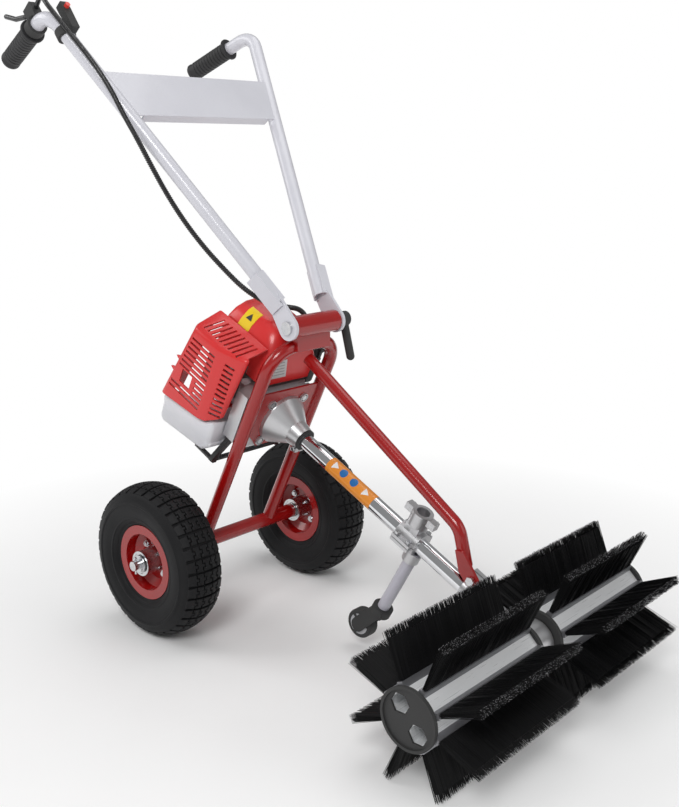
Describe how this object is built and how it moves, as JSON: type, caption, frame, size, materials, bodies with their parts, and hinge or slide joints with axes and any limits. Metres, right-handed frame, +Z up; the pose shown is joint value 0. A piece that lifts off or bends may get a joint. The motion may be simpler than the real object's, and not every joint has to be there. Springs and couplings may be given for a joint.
{
  "type": "power broom",
  "caption": "Walk-behind power broom: engine on a wheeled tube frame, drive tube to bristle rollers, folding handle with throttle cable, swivel caster leg.",
  "frame": {"origin": "centre of the bounding box in plan, on the floor", "axes": "+X forward, towards the bristle rollers; +Y to the left of someone pushing it; +Z up"},
  "size_m": [1.0337, 0.552, 1.0345],
  "materials": {
    "frame_paint": "glossy red enamel",
    "handle_paint": "glossy white powder coat",
    "leg_paint": "lilac-grey enamel",
    "black_paint": "satin black enamel",
    "red_plastic": "glossy red moulding",
    "black_plastic": "black moulding",
    "tank_plastic": "translucent white moulding",
    "switch_red": "red moulding",
    "cast_alloy": "cast alloy",
    "chrome": "polished chrome",
    "steel": "zinc plated steel",
    "dark_steel": "heat-darkened steel",
    "core_alloy": "mill finish extrusion",
    "bristle": "black nylon bristle",
    "tyre": "moulded tyre rubber",
    "rubber": "matt black rubber",
    "bronze": "sintered bronze"
  },
  "bodies": {
    "frame": {"frame_hoop": "frame_paint", "engine_plate": "frame_paint", "pivot_tube": "frame_paint", "bushes": "bronze", "front_strut": "frame_paint", "wheel_axle": "steel", "wheel_retainers": "steel", "steel_bolts": "steel", "clutch_housing": "cast_alloy", "fan_case": "cast_alloy", "crankcase": "cast_alloy", "cylinder": "cast_alloy", "spark_plug": "dark_steel", "engine_cover": "red_plastic", "muffler": "dark_steel", "muffler_guard": "red_plastic", "fuel_tank": "tank_plastic", "tank_guard": "black_paint", "recoil_starter": "red_plastic", "starter_rope": "bristle", "air_filter_cover": "black_plastic", "carburettor": "cast_alloy", "drive_tube": "chrome", "tube_clamp": "cast_alloy", "support_leg": "leg_paint", "gear_housing": "cast_alloy"},
    "right_wheel": {"right_tyre": "tyre", "right_rim": "frame_paint", "right_rim_bolts": "steel", "right_hub": "steel"},
    "left_wheel": {"left_tyre": "tyre", "left_rim": "frame_paint", "left_rim_bolts": "steel", "left_hub": "steel"},
    "handle": {"right_arm": "handle_paint", "left_arm": "handle_paint", "cross_plate": "handle_paint", "pivot_bolt": "steel", "hand_grips": "rubber", "throttle_bracket": "black_plastic", "stop_switch": "black_plastic", "throttle_cable": "rubber"},
    "throttle_lever": {"throttle_lever": "black_paint"},
    "switch_button": {"switch_button": "switch_red"},
    "clamp_lever": {"clamp_lever": "black_plastic"},
    "starter_grip": {"starter_grip": "black_plastic"},
    "fuel_cap": {"fuel_cap": "black_plastic"},
    "primer_bulb": {"primer_bulb": "rubber"},
    "choke_lever": {"choke_lever": "black_plastic"},
    "crank": {"crankshaft": "steel", "flywheel": "cast_alloy"},
    "drive": {"drive_shaft": "steel", "clutch_drum": "steel"},
    "broom": {"cross_shaft": "steel", "crown_gear": "steel", "roller_cores": "core_alloy", "bristle_strips": "bristle", "end_caps": "black_plastic"},
    "caster_swivel": {"caster_fork": "black_plastic"},
    "caster_roll": {"caster_wheel": "black_plastic"}
  },
  "joints": [
    {"name": "right_wheel_spin", "type": "hinge", "parent": "frame", "child": "right_wheel", "pos_m": [-0.20076, -0.178, 0.13], "axis": [0, 1, 0], "continuous": true},
    {"name": "left_wheel_spin", "type": "hinge", "parent": "frame", "child": "left_wheel", "pos_m": [-0.20076, 0.178, 0.13], "axis": [0, 1, 0], "continuous": true},
    {"name": "handle_fold", "type": "hinge", "parent": "frame", "child": "handle", "pos_m": [-0.00476, 0, 0.525], "axis": [0, 1, 0], "range_deg": [0, 135], "deforming": ["throttle_cable"]},
    {"name": "throttle", "type": "hinge", "parent": "handle", "child": "throttle_lever", "pos_m": [-0.41814, -0.209, 1.01174], "axis": [0, -1, 0], "range_deg": [0, 20], "stiffness_Nm_per_rad": 0.8, "springref_deg": -17.19},
    {"name": "stop_press", "type": "slide", "parent": "handle", "child": "switch_button", "axis": [-0.8059, 0, -0.592], "range_m": [0, 0.003], "stiffness_N_per_m": 200, "springref_m": -0.002},
    {"name": "clamp_turn", "type": "hinge", "parent": "handle", "child": "clamp_lever", "pos_m": [-0.00476, 0.066, 0.525], "axis": [0, 1, 0], "range_deg": [-75, 0]},
    {"name": "starter_pull", "type": "slide", "parent": "frame", "child": "starter_grip", "axis": [0.3932, 0.5, 0.7716], "range_m": [0, 0.6], "stiffness_N_per_m": 12, "springref_m": -0.6, "deforming": ["starter_rope"]},
    {"name": "cap_turn", "type": "hinge", "parent": "frame", "child": "fuel_cap", "pos_m": [-0.23886, 0.048, 0.37817], "axis": [0.454, 0, 0.891], "range_deg": [-75, 0]},
    {"name": "primer_press", "type": "slide", "parent": "frame", "child": "primer_bulb", "axis": [0.454, 0, 0.891], "range_m": [0, 0.003], "stiffness_N_per_m": 120, "springref_m": -0.002},
    {"name": "choke_turn", "type": "hinge", "parent": "frame", "child": "choke_lever", "pos_m": [-0.07868, 0.09, 0.44583], "axis": [0.891, 0, -0.454], "range_deg": [0, 70]},
    {"name": "crank_spin", "type": "hinge", "parent": "frame", "child": "crank", "pos_m": [-0.14441, 0, 0.38953], "axis": [0.891, 0, -0.454], "continuous": true},
    {"name": "drive_spin", "type": "hinge", "parent": "frame", "child": "drive", "pos_m": [0.13804, 0, 0.24562], "axis": [0.891, 0, -0.454], "continuous": true},
    {"name": "broom_spin", "type": "hinge", "parent": "frame", "child": "broom", "pos_m": [0.41069, 0, 0.10669], "axis": [0, 1, 0], "continuous": true},
    {"name": "caster_swivel", "type": "hinge", "parent": "frame", "child": "caster_swivel", "pos_m": [0.14442, 0, 0.08412], "axis": [-0.4962, 0, -0.8682], "continuous": true},
    {"name": "caster_spin", "type": "hinge", "parent": "caster_swivel", "child": "caster_roll", "pos_m": [0.10051, 0, 0.04356], "axis": [0, 1, 0], "continuous": true}
  ],
  "couplings": [
    {"joint": "drive_spin", "follows": "broom_spin", "ratio": 3}
  ]
}
